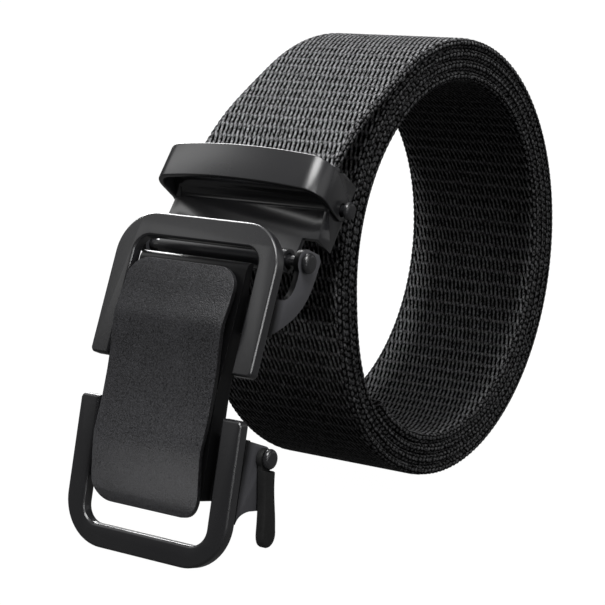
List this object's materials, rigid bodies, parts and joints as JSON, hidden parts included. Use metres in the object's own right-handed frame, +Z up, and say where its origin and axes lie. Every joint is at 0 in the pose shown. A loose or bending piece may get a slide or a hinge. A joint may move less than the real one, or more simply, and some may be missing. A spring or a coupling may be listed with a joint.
{
  "type": "ratchet belt",
  "caption": "Black webbing belt in a standing coil, its end clamped in a framed metal ratchet buckle with a matte wavy plate, a keeper loop and a side release lever.",
  "frame": {"origin": "on the surface that the coil stands on, straight below the coil's axis, midway across the strap's width", "axes": "+X along the coil's axis towards the release lever's side, -Y from the coil towards the buckle, +Z up"},
  "size_m": [0.0483, 0.151, 0.1062],
  "materials": {
    "webbing": "woven nylon, matte with a slight sheen",
    "black_metal": "satin black",
    "matte_metal": "matte, fine sandblasted grain",
    "lever_coating": "matte, slightly textured"
  },
  "bodies": {
    "belt": {"strap": "webbing", "clamp_plate": "black_metal", "keeper_loop": "black_metal", "clamp_jaw": "black_metal", "clamp_pin": "black_metal"},
    "buckle": {"upper_frame": "black_metal", "lower_frame": "black_metal", "back_channel": "black_metal", "wave_plate": "matte_metal", "hinge_pin": "black_metal", "pawl_pin": "black_metal"},
    "release": {"pawl": "black_metal", "release_lever": "lever_coating"}
  },
  "joints": [
    {"name": "buckle_swing", "type": "hinge", "parent": "belt", "child": "buckle", "pos_m": [0, -0.06745, 0.06134], "axis": [1, 0, 0], "range_deg": [-65, 35]},
    {"name": "lever_release", "type": "hinge", "parent": "buckle", "child": "release", "pos_m": [0, -0.08323, 0.0225], "axis": [1, 0, 0], "range_deg": [0, 25], "stiffness_Nm_per_rad": 0.02, "springref_deg": -17.19}
  ]
}
